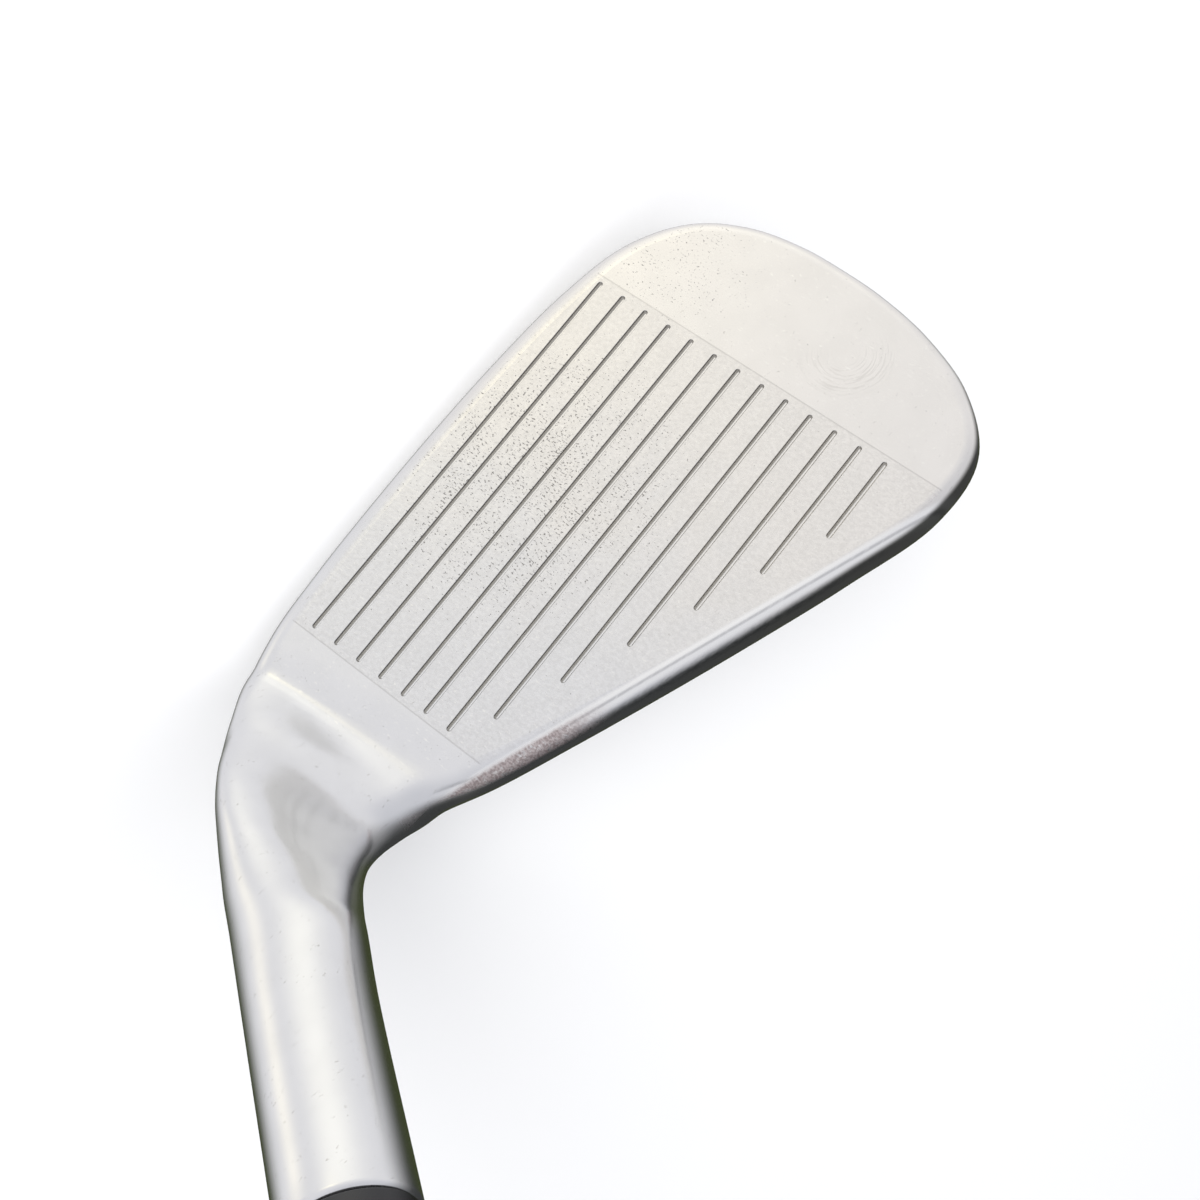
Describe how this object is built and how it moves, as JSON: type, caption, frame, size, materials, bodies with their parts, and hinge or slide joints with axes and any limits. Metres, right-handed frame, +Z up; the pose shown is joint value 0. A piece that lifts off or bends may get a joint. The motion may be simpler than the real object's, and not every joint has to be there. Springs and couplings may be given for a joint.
{
  "type": "iron golf club",
  "caption": "Steel-shafted cavity-back iron golf club with a grooved face, long hosel, black ferrule, stepped shaft and rubber grip.",
  "frame": {"origin": "where the middle of the sole touches level ground, on the small flat of the sole", "axes": "+X from toe to heel, +Y from the striking face to the back of the head, +Z up from the ground; the shaft leans towards +X at its lie angle"},
  "size_m": [0.5031, 0.0422, 0.8501],
  "materials": {
    "head_steel": "satin, with a blasted and milled score area and worn edges",
    "weight_metal": "machined dark heavy alloy",
    "pad_elastomer": "matte",
    "badge_aluminium": "brushed and anodised dark grey",
    "epoxy": "cured resin",
    "brass": "turned",
    "shaft_chrome": "bright plated",
    "ferrule_black": "polished black",
    "band_vinyl": "plain printed film",
    "tape_paper": "double-sided paper tape",
    "grip_rubber": "moulded, with a fine gripping pattern",
    "cap_rubber": "smooth moulded"
  },
  "bodies": {
    "root": {"head_body": "head_steel", "toe_weight": "weight_metal", "damping_pad": "pad_elastomer", "cavity_badge": "badge_aluminium", "hosel_epoxy": "epoxy", "tip_weight": "brass", "shaft": "shaft_chrome", "ferrule": "ferrule_black", "shaft_band": "band_vinyl", "grip_tape": "tape_paper", "grip": "grip_rubber", "grip_cap": "cap_rubber"}
  },
  "joints": []
}
